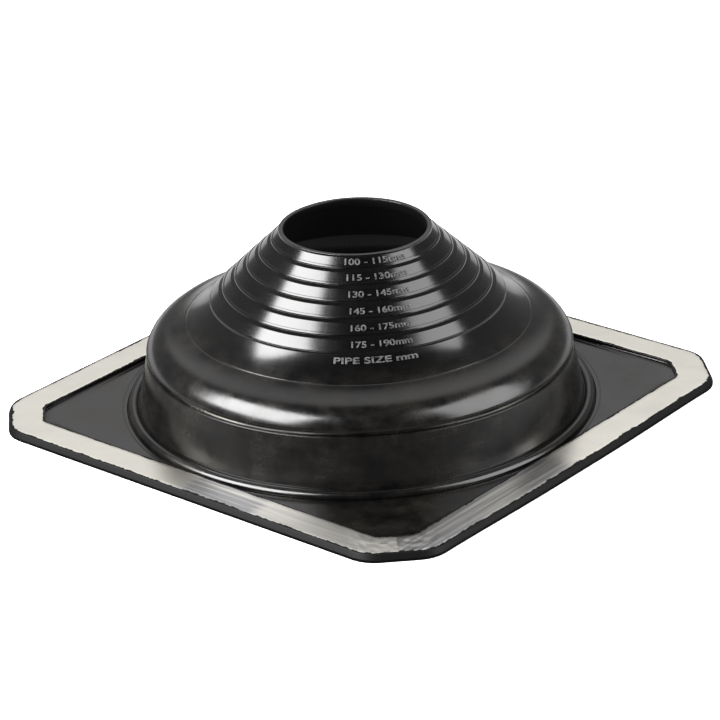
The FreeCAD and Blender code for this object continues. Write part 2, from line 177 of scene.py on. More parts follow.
class FlangeSizes(bpy.types.PropertyGroup):
    """Sizes of the flange and its edging."""
    half: length("Half side", CAD_BOX[1][0] / MM, "Axis to edge")
    height: length("Rim height", 4.6, "Thickness of the rim")
    web: length("Web thickness", 2.2, "Thickness inside the rim")
    corner_cut: length("Corner cut", 26.4, "Leg of the cut corner")
    corner_round: length("Corner round", 20.0, "Rounding beside the cut corner")
    corner_taper: plain("Corner taper", 0.647, "Rounding lost for each unit of inset")
    bevel_width: length("Bevel width", 1.4, "Width of the edge bevel")
    bevel_height: length("Bevel height", 2.9, "Height of the edge bevel")
    strip_margin: length("Strip margin", 2.2, "Edge of the flange to the strip")
    strip_width: length("Strip width", 17.9, "Width of the aluminium strip")
    strip_thickness: length("Strip thickness", 0.8, "Thickness of the aluminium strip")
    strip_lip: length("Strip lip", 0.8, "Rubber inside the strip")
    mitre_gap: length("Mitre gap", 0.07, "Gap where two strips meet")
    strip_segments: whole("Strip segments", 240, "Divisions along a strip")
    flash_width: length("Flash width", 2.4, "Widest rubber flash over the strip's edge")
    flash_segments: whole("Flash segments", 2400, "Divisions of the flash")
    seal_margin: length("Seal margin", 4.5, "Edge of the flange to the first groove")
    seal_pitch: length("Seal pitch", 4.5, "Groove to groove")
    seal_width: length("Seal width", 2.0, "Width of a sealing groove")
    seal_depth: length("Seal depth", 0.8, "Depth of a sealing groove")
    seal_count: whole("Seals", 3, "Grooves under the flange")
    edge_bow: length("Edge bow", 1.5, "How far the right edge bulges")


class MarkSizes(bpy.types.PropertyGroup):
    """Sizes of the raised numbers."""
    direction: angle("Direction", -41.0, "Side of the cone that carries the numbers")
    letter_height: length("Letter height", 3.7, "Height of the figures")
    row_width: length("Row width", 33.5, "Length of a row of figures")
    legend_width: length("Legend width", 46.0, "Length of the row under the figures")
    legend_drop: length("Legend drop", 4.9, "From the fine line down to the middle of the legend")
    row_turn: angle("Row turn", 4.3, "First row's direction against the last one")
    legend_turn: angle("Legend turn", -3.0, "Legend's direction against the rows above it")
    relief: length("Relief", 0.45, "Height of the figures over the band")


class Finishes(bpy.types.PropertyGroup):
    """Colours and gloss."""
    rubber: colour("Rubber", (0.0012, 0.0012, 0.0014), "Clean rubber")
    bloom: colour("Bloom", (0.0125, 0.0105, 0.0075), "Brownish film on the rubber")
    # Painted sheen: the raised marks are lighter grey partly for dust and partly for the light their rough
    # faces catch.
    wear_and_painted_light: colour("Worn rubber", (0.075, 0.075, 0.077), "Rubbed tops of the raised marks")
    rubber_gloss: share("Rubber roughness", 0.14, "Roughness of the clean rubber")
    aluminium: colour("Aluminium", (0.90, 0.87, 0.79), "Soft sheet")
    # Colour of the darker patches on the sheet: partly wear, partly painted shade.
    rubbed_and_shaded_aluminium: colour("Rubbed aluminium", (0.36, 0.36, 0.37), "The sheet where it is rubbed")
    aluminium_gloss: share("Aluminium roughness", 0.30, "Roughness of the sheet")
    floor: colour("Floor", (0.86, 0.86, 0.86), "Floor")


class StageSizes(bpy.types.PropertyGroup):
    """Camera and lights."""
    azimuth: angle("Azimuth", 40.24, "Camera's way round the object")
    elevation: angle("Elevation", 24.93, "Camera above the horizon")
    roll: angle("Roll", -2.09, "Camera's turn about its own axis")
    distance: length("Distance", 1834.0, "Camera to the middle of the flange")
    aim_up: length("Aim up", 17.65, "Aim above the middle of the flange")
    aim_right: length("Aim right", -0.8, "Aim to the right of it")
    lens: plain("Lens", 161.05, "Focal length in millimetres")
    key_power: power("Key power", 67, "Softbox on the left")
    fill_power: power("Fill power", 27, "Softbox on the right")


# ---------------------------------------------------------------- node helpers

class Number:
    """A node's output that adds Math nodes of its own when it is used in an expression."""

    def __init__(self, board, socket):
        self.board = board
        self.socket = socket

    def __add__(self, other):
        return self.board.maths("ADD", self, other)

    def __radd__(self, other):
        return self.board.maths("ADD", other, self)

    def __sub__(self, other):
        return self.board.maths("SUBTRACT", self, other)

    def __rsub__(self, other):
        return self.board.maths("SUBTRACT", other, self)

    def __mul__(self, other):
        return self.board.maths("MULTIPLY", self, other)

    def __rmul__(self, other):
        return self.board.maths("MULTIPLY", other, self)

    def __truediv__(self, other):
        return self.board.maths("DIVIDE", self, other)

    def __rtruediv__(self, other):
        return self.board.maths("DIVIDE", other, self)

    def __gt__(self, other):
        return self.board.maths("GREATER_THAN", self, other)

    def __lt__(self, other):
        return self.board.maths("LESS_THAN", self, other)


class Board:
    """A node tree with one way to add a node."""

    def __init__(self, tree):
        self.tree = tree

    def add(self, kind, settings=None, output=0, **inputs):
        """Add a node: its settings first, then values or links for its sockets. Gives one output."""
        node = self.tree.nodes.new(kind)
        for name, value in (settings or {}).items():
            setattr(node, name, value)
        for name, value in inputs.items():
            self.fill(self.find(node.inputs, name), value)
        return Number(self, self.find(node.outputs, output))

    @staticmethod
    def find(sockets, name):
        """A socket by its number, or by its name with underscores. Sockets not in use are passed over."""
        if isinstance(name, int):
            return sockets[name]
        if name[:1] == "n" and name[1:].isdigit():
            return sockets[int(name[1:])]
        wanted = name.replace("_", " ").lower()
        return next(socket for socket in sockets if socket.enabled and socket.name.lower() == wanted)

    def fill(self, socket, value):
        """Link a number or set a value."""
        if isinstance(value, Number):
            self.tree.links.new(value.socket, socket)
        else:
            socket.default_value = value

    def maths(self, operation, *values):
        """One Math node."""
        inputs = {f"n{place}": value for place, value in enumerate(values)}
        return self.add("ShaderNodeMath", {"operation": operation}, **inputs)

    def fade(self, value, low, high, start=0.0, stop=1.0):
        """A smooth change from start to stop while the value goes from low to high."""
        return self.add("ShaderNodeMapRange", {"interpolation_type": "SMOOTHSTEP"}, value=value,
                        from_min=low, from_max=high, to_min=start, to_max=stop)

    def blend(self, factor, first, second):
        """Mix two colours."""
        return self.add("ShaderNodeMix", {"data_type": "RGBA"}, output=2, n0=factor, n6=first, n7=second)

    def vector(self, x, y, z):
        return self.add("ShaderNodeCombineXYZ", x=x, y=y, z=z)

    def noise(self, place, scale, detail=2.0, roughness=0.5, distortion=0.0, seed=0.0):
        """Noise about 0.5 at a place. The seed is a fourth coordinate."""
        return self.add("ShaderNodeTexNoise", {"noise_dimensions": "4D"}, output="fac", vector=place,
                        w=seed, scale=scale, detail=detail, roughness=roughness, distortion=distortion)

    def split(self, vector):
        """The three parts of a vector."""
        first = self.add("ShaderNodeSeparateXYZ", vector=vector)
        return [Number(self, socket) for socket in first.socket.node.outputs]

    def dot(self, vector, direction):
        """How far a vector points in a direction."""
        return self.add("ShaderNodeVectorMath", {"operation": "DOT_PRODUCT"}, output="value", n0=vector,
                        n1=direction)


def new_tree(name, sockets):
    """A Geometry Nodes tree that takes and gives a mesh. Returns its board and its inputs by name."""
    tree = bpy.data.node_groups.new(name, "GeometryNodeTree")
    tree.interface.new_socket("Geometry", in_out="OUTPUT", socket_type="NodeSocketGeometry")
    tree.interface.new_socket("Geometry", in_out="INPUT", socket_type="NodeSocketGeometry")
    for label, kind in sockets.items():
        tree.interface.new_socket(label, in_out="INPUT", socket_type=f"NodeSocket{kind}")
    board = Board(tree)
    entry = tree.nodes.new("NodeGroupInput")
    return board, {socket.name: Number(board, socket) for socket in entry.outputs if socket.name}


def close_tree(board, geometry, material, chosen=True):
    """End a tree in real geometry with its material, on all faces or on the chosen ones."""
    real = board.add("GeometryNodeRealizeInstances", geometry=geometry)
    dressed = board.add("GeometryNodeSetMaterial", geometry=real, selection=chosen, material=material)
    exit_node = board.tree.nodes.new("NodeGroupOutput")
    board.tree.links.new(dressed.socket, exit_node.inputs[0])


# ---------------------------------------------------------------- shapes by rule

OUTLINE_LABELS = ("Outer Half", "Corner Cut", "Corner Round", "Corner Taper", "Edge Bow")
OUTLINE_INPUTS = {label: "Float" for label in OUTLINE_LABELS}


def outline_values(flange):
    """The values of the outline's named inputs."""
    return dict(zip(OUTLINE_LABELS, (flange.half, flange.corner_cut, flange.corner_round,
                                     flange.corner_taper, flange.edge_bow)))


def outline_group():
    """Polar radius of a square with cut and rounded corners, and with a slight bulge of one edge."""
    tree = bpy.data.node_groups.new("flange outline", "GeometryNodeTree")
    tree.interface.new_socket("Radius", in_out="OUTPUT", socket_type="NodeSocketFloat")
    for label in ("Turn", "Half", *OUTLINE_LABELS):
        tree.interface.new_socket(label, in_out="INPUT", socket_type="NodeSocketFloat")
    board = Board(tree)
    sockets = tree.nodes.new("NodeGroupInput").outputs[:7]
    turn, half, outer, cut, rounding, taper, bow = [Number(board, socket) for socket in sockets]
    quarter = math.pi / 2
    inset = outer - half
    cut = cut - inset * (2 - math.sqrt(2))
    rounding = board.maths("MAXIMUM", rounding - inset * taper, 0.5 * MM)
    folded = board.maths("FLOORED_MODULO", turn + quarter / 2, quarter) - quarter / 2
    folded = board.maths("ABSOLUTE", folded)
    cosine = board.maths("COSINE", folded)
    sine = board.maths("SINE", folded)
    slope = (2 * half - cut) * math.sqrt(0.5)
    sharp = board.maths("MINIMUM", half / cosine, slope / board.maths("COSINE", quarter / 2 - folded))
    centre_x = half - rounding
    centre_y = half - cut - rounding * math.tan(quarter / 4)
    along = centre_x * cosine + centre_y * sine
    rest = rounding * rounding - centre_x * centre_x - centre_y * centre_y + along * along
    curved = along + board.maths("SQRT", board.maths("MAXIMUM", rest, 0.0))
    first = board.maths("ARCTAN2", centre_y, half)
    reach = rounding * math.sqrt(0.5)
    last = board.maths("ARCTAN2", centre_y + reach, centre_x + reach)
    radius = sharp + (curved - sharp) * ((folded > first) * (folded < last))
    side = board.maths("COSINE", turn)
    bulge = board.fade(side, 0.80, 1.0) * bow * board.fade(half, outer - 24 * MM, outer)
    exit_node = tree.nodes.new("NodeGroupOutput")
    tree.links.new((radius + bulge).socket, exit_node.inputs[0])
    return tree


def outline_radius(board, group, turn, half, entry):
    """The outline's radius at a turn, for a given half width."""
    node = board.tree.nodes.new("GeometryNodeGroup")
    node.node_tree = group
    values = [turn, half, *(entry[label] for label in OUTLINE_LABELS)]
    for socket, value in zip(node.inputs, values):
        board.fill(socket, value)
    return Number(board, node.outputs[0])


def named(board, name):
    """A point's own value, by its name."""
    return board.add("GeometryNodeInputNamedAttribute", {"data_type": "FLOAT"}, output="attribute",
                     name=name)


def swept(board, entry, cyclic):
    """Sweep the section along its path, with each point's share of the way. Places are set afterwards."""
    section = board.add("GeometryNodeMeshToCurve", mesh=entry["Geometry"])
    if cyclic:
        path = board.add("GeometryNodeCurvePrimitiveCircle", resolution=entry["Segments"], radius=1.0)
    else:
        path = board.add("GeometryNodeCurvePrimitiveLine", start=(0, 0, 0), end=(1, 0, 0))
        path = board.add("GeometryNodeResampleCurve", curve=path, count=entry["Segments"])
    factor = board.add("GeometryNodeSplineParameter", output="factor")
    index = board.add("GeometryNodeInputIndex")
    share_round = index / entry["Segments"] if cyclic else factor
    path = board.add("GeometryNodeStoreNamedAttribute", {"data_type": "FLOAT", "domain": "POINT"},
                     geometry=path, name="share", value=share_round)
    return board.add("GeometryNodeCurveToMesh", curve=path, profile_curve=section, fill_caps=not cyclic)


def polar(board, radius, turn, height):
    """A place at a distance from the axis and a turn round it."""
    across = radius * board.maths("COSINE", turn)
    return board.vector(across, radius * board.maths("SINE", turn), height)


def placed(board, mesh, radius, turn, height):
    """The mesh with its points put at such places."""
    return board.add("GeometryNodeSetPosition", geometry=mesh, position=polar(board, radius, turn, height))


def boot_tree(outline):
    """Turns a closed section about the axis. Squareness leads from a circle to the flange's outline."""
    board, entry = new_tree("turned boot", {
        "Segments": "Int", **OUTLINE_INPUTS, "Mouth Height": "Float", "Mouth Radius": "Float",
        "Waviness": "Float", "Rim Width": "Float", "Material": "Material", "Rim Material": "Material"})
    mesh = swept(board, entry, True)
    turn = named(board, "share") * math.tau
    circle = named(board, "circle")
    height = named(board, "height")
    squareness = named(board, "squareness")
    outer = outline_radius(board, outline, turn, named(board, "half"), entry)
    wave = board.noise(polar(board, circle, turn, height), 22.0, detail=1.0, seed=3.0) - 0.5
    near_mouth = board.fade(height, entry["Mouth Height"] - PINCH_DEPTH, entry["Mouth Height"])
    round_radius = circle + wave * entry["Waviness"]
    for times, start, size in PINCHES:
        round_radius = round_radius + board.maths("COSINE", times * turn + start) * size * near_mouth
    radius = round_radius * (1 - squareness) + outer * squareness
    shaped = placed(board, mesh, radius, turn, height)
    dressed = board.add("GeometryNodeSetMaterial", geometry=shaped, material=entry["Material"])
    rim = named(board, "half") > entry["Outer Half"] - entry["Rim Width"]
    mouth_sum = entry["Mouth Height"] * INSIDE_SLOPE + entry["Mouth Radius"] - 0.1 * MM
    inside = (circle + height * INSIDE_SLOPE < mouth_sum) * (height > INSIDE_FLOOR)
    close_tree(board, dressed, entry["Rim Material"], board.maths("MAXIMUM", rim, inside))
    return board.tree


def strip_tree(outline):
    """Lays the section of one strip along its side, between the two mitres.

    The sheet ripples a little, and is hammered down round the front corner.
    """
    board, entry = new_tree("edge strip", {
        "Segments": "Int", **OUTLINE_INPUTS, "Direction": "Float", "Mitre Gap": "Float",
        "Ripple": "Float", "Material": "Material"})
    mesh = swept(board, entry, False)
    half = named(board, "half")
    diagonal = outline_radius(board, outline, math.pi / 4, half, {**entry, "Edge Bow": 0.0})
    reach = math.pi / 4 - entry["Mitre Gap"] / 2 / diagonal
    turn = entry["Direction"] + (2 * named(board, "share") - 1) * reach
    radius = outline_radius(board, outline, turn, half, entry)
    height = named(board, "height")
    flat = polar(board, radius, turn, 0.0)
    ripple = (board.noise(flat, 35.0, detail=2.0, seed=5.0) - 0.5) * entry["Ripple"]
    at_front = board.fade(board.maths("COSINE", turn + math.pi / 4), 0.985, 0.9985)
    hammer = board.add("ShaderNodeTexVoronoi", {"feature": "F1"}, output="distance", vector=flat,
                       scale=420.0)
    ripple = ripple + (hammer - 0.5) * 0.5 * MM * at_front
    shaped = placed(board, mesh, radius, turn, height + ripple * named(board, "upper"))
    corner = board.add("GeometryNodeInputMeshEdgeAngle", output="unsigned angle") > math.radians(60)
    shaped = board.add("GeometryNodeSetShadeSmooth", {"domain": "EDGE"}, geometry=shaped,
                       selection=corner, shade_smooth=False)
    close_tree(board, shaped, entry["Material"])
    return board.tree


def flash_tree(outline):
    """A thin ragged film of rubber that creeps over a strip's edge, all the way round."""
    board, entry = new_tree("rubber flash", {
        "Segments": "Int", **OUTLINE_INPUTS, "Width": "Float", "Edge": "Float", "Inward": "Float",
        "Seed": "Float", "Material": "Material"})
    mesh = swept(board, entry, True)
    turn = named(board, "share") * math.tau
    edge = outline_radius(board, outline, turn, entry["Edge"], entry)
    place = polar(board, edge, turn, 0.0)
    coarse = board.noise(place, 60.0, detail=1.0, seed=entry["Seed"])
    fine = board.noise(place, 210.0, detail=5.0, roughness=0.75, seed=entry["Seed"])
    ragged = board.maths("MAXIMUM", board.fade(coarse, 0.40, 0.66) * 0.35 + (fine - 0.47) * 2.6, 0.0)
    creep = ragged * entry["Width"] * named(board, "creep")
    radius = edge + entry["Inward"] * (creep - named(board, "tuck"))
    close_tree(board, placed(board, mesh, radius, turn, named(board, "height")), entry["Material"])
    return board.tree


# ---------------------------------------------------------------- sections

def rounded(corners):
    """Round the corners of an open section, given as (across, up, radius). Gives a list of points."""
    places = [Vector(corner[:2]) for corner in corners]
    half_turns = [0.0] * len(places)
    wanted = [0.0] * len(places)
    for number in range(1, len(places) - 1):
        before = places[number - 1] - places[number]
        after = places[number + 1] - places[number]
        half_turns[number] = before.angle(after) / 2
        wanted[number] = corners[number][2] / math.tan(half_turns[number])
    points = []
    for number, place in enumerate(places):
        if not wanted[number]:
            points.append(place)
            continue
        before = places[number - 1] - place
        after = places[number + 1] - place
        half_turn = half_turns[number]
        reach = wanted[number]
        for edge, other in ((before, number - 1), (after, number + 1)):
            shared = edge.length * wanted[number] / (wanted[number] + wanted[other])
            reach = min(reach, EDGE_SHARE * shared)
        radius = reach * math.tan(half_turn)
        bend = math.pi - 2 * half_turn
        steps = max(2, math.ceil(bend / ARC_TURN), math.ceil(radius * bend / ARC_LENGTH))
        inward = (before.normalized() + after.normalized()).normalized()
        middle = place + inward * radius / math.sin(half_turn)
        spoke = place + before.normalized() * reach - middle
        way = 1 if before.cross(after) < 0 else -1
        points += [middle + Matrix.Rotation(way * bend * step / steps, 2) @ spoke
                   for step in range(steps + 1)]
    return points


def divided(points, longest):
    """Split the runs of an open chain that are longer than a length into even ones."""
    result = []
    for start, stop in zip(points, points[1:]):
        count = max(1, math.ceil((stop - start).length / longest))
        result += [start.lerp(stop, step / count) for step in range(count)]
    return result + points[-1:]


def section_mesh(name, columns, count, cyclic=True):
    """A chain of edges whose points carry the section's values as attributes."""
    mesh = bpy.data.meshes.new(name)
    edges = [(number, number + 1) for number in range(count - 1)]
    if cyclic:
        edges.append((count - 1, 0))
    mesh.from_pydata([(number * MM, 0, 0) for number in range(count)], edges, [])
    for label, values in columns.items():
        mesh.attributes.new(label, "FLOAT", "POINT").data.foreach_set("value", values)
    return mesh


def ring_steps(boot):
    """Root and nose of every step of the cone, from the mouth down."""
    steps = []
    for ring in range(boot.ring_count):
        nose = Vector((boot.ring_radius + boot.ring_spacing * ring,
                       boot.height - boot.ring_start - boot.ring_drop * ring))
        steps.append((nose + Vector((-boot.tread_width, boot.tread_drop)), nose))
    return steps


def bands(boot):
    """Start and end of the sloping face above every step, and of the last one down to the fine line."""
    start = Vector((boot.lip_radius, boot.height - boot.lip_drop))
    faces = []
    for root, nose in ring_steps(boot):
        faces.append((start, root))
        start = nose
    crease = dome_points(boot)["crease"]
    way = (crease - start).normalized()
    line = start + way * ((boot.line_radius - start.x) / way.x)
    faces.append((start, line))
    return faces


def pointing(slope):
    """The direction at an angle above level."""
    return Vector((math.cos(slope), math.sin(slope)))


def dome_points(boot):
    """The shoulder's two centres, where its round begins, and where flare and shelf would meet."""
    low = Vector((boot.skirt_radius - boot.tuck_round,
                  boot.skirt_height + boot.tuck_round * math.sin(boot.undercut)))
    centre = low - pointing(boot.tuck_start) * (boot.shoulder_round - boot.tuck_round)
    outward = pointing(math.pi / 2 - boot.shoulder_angle)
    crest = centre + outward * boot.shoulder_round
    crease = crest + Vector((-boot.shelf_width, boot.shelf_width * math.tan(boot.shoulder_angle)))
    return {"low": low, "centre": centre, "outward": outward, "crest": crest, "crease": crease}


def cove_point(first, bend, last, part):
    """A point of the smooth curve that leaves first towards bend and arrives at last from bend."""
    return first.lerp(bend, part).lerp(bend.lerp(last, part), part)


def arc(centre, radius, start, stop, steps):
    """Points of an arc, from one slope to another."""
    slopes = [start + (stop - start) * step / steps for step in range(steps + 1)]
    return [(*(centre + pointing(slope) * radius), 0) for slope in slopes]


def cone_outside(boot):
    """Corners from the lip down to the crease: bands, cutting ribs, treads and the fine line."""
    corners = []
    faces = bands(boot)
    for (start, root), (_, nose) in zip(faces, ring_steps(boot)):
        way = (root - start).normalized()
        out = Vector((-way.y, way.x))
        tread = (nose - root).normalized()
        rib_start = root - way * (boot.rib_width + boot.rib_gap)
        rib_top = rib_start + way * 0.2 * MM + out * boot.rib_height
        rib_end = rib_top + way * boot.rib_width
        foot = root + tread * 0.25 * MM
        corners += [(*rib_start, ROUND["rib foot"]), (*rib_top, ROUND["rib top"]),
                    (*rib_end, ROUND["rib end"]), (*foot, ROUND["tread"]), (*nose, ROUND["nose"])]
    start, line = faces[-1]
    way = (line - start).normalized()
    out = Vector((-way.y, way.x))
    for along, deep in FINE_LINE:
        corners.append((*(line + way * along - out * deep), ROUND["fine line"]))
    return corners


def turned_side(boot, flange, ledge):
    """The outside as it is turned: mouth, cone, dome, skirt and bead, out to the start of the web."""
    dome = dome_points(boot)
    foot = boot.skirt_radius + boot.skirt_spread
    bead = Vector((foot + boot.bead_round, flange.web + boot.bead_rise - boot.bead_round))
    bead_out = foot + 2 * boot.bead_round
    web_start = bead_out + boot.bead_gap
    corners = [(boot.mouth_radius, ledge, 0),
               (boot.mouth_radius, boot.height, ROUND["mouth"]),
               (boot.lip_radius, boot.height, ROUND["lip"]),
               (boot.lip_radius + 0.1 * MM, boot.height - boot.lip_drop, ROUND["lip foot"])]
    corners += cone_outside(boot)
    cone_foot = Vector(corners[-1][:2])
    for step in range(1, 16):
        corners.append((*cove_point(cone_foot, dome["crease"], dome["crest"], step / 16), 0))
    top_slope = math.pi / 2 - boot.shoulder_angle
    corners += arc(dome["centre"], boot.shoulder_round, top_slope, boot.tuck_start, 12)
    corners += arc(dome["low"], boot.tuck_round, boot.tuck_start, -boot.undercut, 8)[1:]
    ledge_in = boot.skirt_radius - boot.skirt_step - 0.3 * MM
    corners += [(ledge_in, boot.skirt_height - 0.2 * MM, ROUND["skirt ledge"]),
                (boot.skirt_radius + 0.1 * MM, boot.skirt_height - 0.9 * MM, ROUND["skirt top"]),
                (*(bead + pointing(math.radians(150)) * boot.bead_round), ROUND["bead root"])]
    points = notched(rounded(corners), boot)
    points += [bead + pointing(math.radians(degrees)) * boot.bead_round for degrees in range(140, -30, -10)]
    groove = [(*points[-1], 0),
              (bead_out + 0.1 * MM, flange.web - boot.bead_groove, ROUND["bead groove"]),
              (web_start, flange.web, ROUND["web"]),
              (web_start + 0.1 * MM, flange.web, 0)]
    return divided(points + rounded(groove)[1:], RUN_LENGTH)


def square_side(flange):
    """Corners of the flange: web's edge, recess for the strips, bevel and the grooves underneath."""
    rim = flange.half - flange.strip_margin - flange.strip_width
    rim_inner = rim - flange.strip_lip
    top = flange.height
    sunk = top - flange.strip_thickness - 0.05 * MM
    strip_out = flange.half - flange.strip_margin
    corners = [(rim_inner, flange.web, ROUND["rim step"]), (rim_inner, top, ROUND["rim step"]),
               (rim, top, ROUND["recess"]), (rim, sunk, 0), (strip_out, sunk, 0),
               (strip_out, top, ROUND["recess"]),
               (flange.half - flange.bevel_width, top, ROUND["bevel"]),
               (flange.half, top - flange.bevel_height, ROUND["bevel"]),
               (flange.half, 0, ROUND["underside"])]
    for number in range(flange.seal_count):
        outer = flange.half - flange.seal_margin - flange.seal_pitch * number
        inner = outer - flange.seal_width
        corners += [(outer, 0, 0), (outer, flange.seal_depth, 0),
                    (inner, flange.seal_depth, 0), (inner, 0, 0)]
    return corners


def boot_section(boot, flange):
    """The closed section of the whole moulding: (across, up, circle, squareness) for each point."""
    ledge = boot.height - boot.mouth_length
    web_start = boot.skirt_radius + boot.skirt_spread + 2 * boot.bead_round + boot.bead_gap
    inner_foot = boot.skirt_radius + boot.skirt_spread - boot.dome_wall
    square = square_side(flange)
    web_end = square[0][0]
    groove_end = square[-1][0]
    points = [(point.x, point.y, point.x, 0.0) for point in turned_side(boot, flange, ledge)]
    points += [(web_end, flange.web, web_start, step / 6) for step in range(1, 6)]
    points += [(point.x, point.y, point.x, 1.0) for point in rounded(square)]
    points += [(groove_end, 0.0, inner_foot, 1 - step / 4) for step in range(1, 4)]
    points += [(point.x, point.y, point.x, 0.0) for point in inside_points(boot, inner_foot, ledge)]
    return points


def notched(points, boot):
    """Cut the fine line at the foot of the cove into the outside of the dome."""
    centre = boot.notch_radius
    kept = [point for point in points
            if abs(point.x - centre) >= NOTCH_HALF_WIDTH or point.y <= boot.skirt_height]
    number = next(number for number, point in enumerate(kept) if point.x > centre)
    before = kept[number - 1]
    after = kept[number]
    line = []
    for step, deep in NOTCH:
        part = (centre + step * NOTCH_HALF_WIDTH - before.x) / (after.x - before.x)
        line.append(before.lerp(after, part) - Vector((0, deep * boot.crease_notch)))
    return kept[:number] + line + kept[number:]


def inside_points(boot, inner_foot, ledge):
    """The hollow side, from the foot up to the ledge under the lip."""
    dome = dome_points(boot)
    wall = boot.dome_wall
    steps = ring_steps(boot)
    roots = (steps[-1][0] - steps[0][0]).normalized()
    inward = Vector((roots.y, -roots.x))
    top_root = steps[0][0] + inward * boot.cone_wall
    low_root = steps[-1][0] + inward * boot.cone_wall
    lip_root = top_root + roots * ((ledge - top_root.y) / roots.y)
    crest = dome["crest"] - dome["outward"] * wall
    fall = (boot.skirt_radius - dome["crest"].x) * math.tan(boot.shoulder_angle)
    corner = Vector((boot.skirt_radius - wall, dome["crest"].y - fall - wall))
    crease = dome["crease"] - Vector((0.5 * wall, 1.15 * wall))
    return rounded([(inner_foot, 0, 0), (corner.x, boot.skirt_height - 2 * MM, 0),
                    (*corner, ROUND["inside corner"]), (*crest, 0), (*crease, 0), (*low_root, 0),
                    (*lip_root, 0)])


# ---------------------------------------------------------------- making pieces

def put_in_scene(name, data):
    """A new object that shows the data."""
    thing = bpy.data.objects.new(name, data)
    bpy.context.scene.collection.objects.link(thing)
    return thing


def keep_piece(name, mesh, replaced=()):
    """Put a finished mesh into the scene as a piece of the object."""
    piece = put_in_scene(name, mesh)
    if replaced:
        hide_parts(*replaced)
    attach(piece, BODY)


def through_tree(name, section, tree, values):
    """Run a section through a tree and keep the evaluated result as a plain mesh."""
    source = put_in_scene(f"{name}_section", section)
    modifier = source.modifiers.new("shape", "NODES")
    modifier.node_group = tree
    for item in tree.interface.items_tree:
        if item.item_type == "SOCKET" and item.in_out == "INPUT" and item.name in values:
            modifier[item.identifier] = values[item.name]
    normals = source.modifiers.new("normals", "WEIGHTED_NORMAL")
    normals.weight = 50
    normals.keep_sharp = True
    graph = bpy.context.evaluated_depsgraph_get()
    mesh = bpy.data.meshes.new_from_object(source.evaluated_get(graph), preserve_all_data_layers=True,
                                           depsgraph=graph)
    bpy.data.objects.remove(source)
    mesh.name = name
    return mesh


def make_boot(context):
    boot = context.scene.boot_sizes
    flange = context.scene.flange_sizes
    points = boot_section(boot, flange)
    columns = dict(zip(("half", "height", "circle", "squareness"), zip(*points)))
    section = section_mesh("boot_section", columns, len(points))
    values = {"Segments": boot.segments, "Mouth Height": boot.height, "Mouth Radius": boot.mouth_radius,
              "Waviness": WAVINESS, "Rim Width": flange.strip_margin + 0.1 * MM,
              "Material": finished("black rubber", rubber, context),
              "Rim Material": finished("torn rubber", torn_rubber, context), **outline_values(flange)}
    mesh = through_tree("moulded_boot", section, boot_tree(outline_group()), values)
    keep_piece("moulded_boot", mesh, ["rubber_boot"])


def make_strips(context):
    flange = context.scene.flange_sizes
    outer = flange.half - flange.strip_margin
    inner = outer - flange.strip_width
    top = flange.height
    under = top - flange.strip_thickness
    edge = 0.25 * MM
    steps = 10
    flat = [inner + edge + (outer - inner - 2 * edge) * step / steps for step in range(steps + 1)]
    columns = {"half": [inner, inner, *flat, outer, outer],
               "height": [under, top - edge, *[top] * len(flat), top - edge, under],
               "upper": [0.0, 1.0, *[1.0] * len(flat), 1.0, 0.0]}
    tree = strip_tree(outline_group())
    for side, degrees in SIDES.items():
        section = section_mesh(f"strip_{side}_section", columns, len(columns["half"]))
        values = {"Segments": flange.strip_segments, "Direction": math.radians(degrees),
                  "Mitre Gap": flange.mitre_gap, "Ripple": RIPPLE,
                  "Material": finished("soft aluminium", aluminium, context), **outline_values(flange)}
        mesh = through_tree(f"sheet_{side}", section, tree, values)
        keep_piece(f"sheet_{side}", mesh, [f"strip_{side}"])


def make_flash(context):
    flange = context.scene.flange_sizes
    outer = flange.half - flange.strip_margin
    inner = outer - flange.strip_width
    tree = flash_tree(outline_group())
    top = flange.height
    for name, edge, inward, width, seed in (("outer_flash", outer, -1.0, flange.flash_width, 1.0),
                                            ("inner_flash", inner, 1.0, 0.6 * flange.flash_width, 9.0)):
        columns = {"creep": [0.0, 1.0, 1.0, 0.0], "tuck": [0.4 * MM, 0.0, -0.1 * MM, 0.4 * MM],
                   "height": [top + 0.12 * MM, top + 0.12 * MM, top - 0.1 * MM, top - 0.1 * MM]}
        if inward < 0:
            # Mirrored, the section runs the other way, so that its faces still point outwards.
            columns = {label: column[::-1] for label, column in columns.items()}
        section = section_mesh(f"{name}_section", columns, 4)
        values = {"Segments": flange.flash_segments, "Width": width, "Edge": edge, "Inward": inward,
                  "Seed": seed, "Material": finished("torn rubber", torn_rubber, context),
                  **outline_values(flange)}
        mesh = through_tree(name, section, tree, values)
        keep_piece(name, mesh)


def figures(text, width, height):
    """A flat row of figures centred on the origin, as a mesh whose thickness runs from 0 to 1."""
    curve = bpy.data.curves.new("figures", "FONT")
    curve.body = text
    curve.align_x = "CENTER"
    curve.align_y = "CENTER"
    curve.extrude = 0.5
    curve.bevel_depth = 0.02
    source = put_in_scene("figures", curve)
    bpy.context.view_layer.update()
    graph = bpy.context.evaluated_depsgraph_get()
    mesh = bpy.data.meshes.new_from_object(source.evaluated_get(graph))
    bpy.data.objects.remove(source)
    low = Vector([min(vertex.co[axis] for vertex in mesh.vertices) for axis in range(3)])
    high = Vector([max(vertex.co[axis] for vertex in mesh.vertices) for axis in range(3)])
    size = high - low
    middle = (low + high) / 2
    for vertex in mesh.vertices:
        vertex.co = Vector(((vertex.co.x - middle.x) * width / size.x,
                            (vertex.co.y - middle.y) * height / size.y,
                            (vertex.co.z - low.z) / size.z))
    return mesh


def mouth_pinch(turn, height):
    """How far the soft mouth is out of round, fading away down the cone."""
    near = min(max((height - CAD_BOX[1][2]) / PINCH_DEPTH + 1, 0), 1)
    near = near * near * (3 - 2 * near)
    return near * sum(math.cos(times * turn + start) * size for times, start, size in PINCHES)


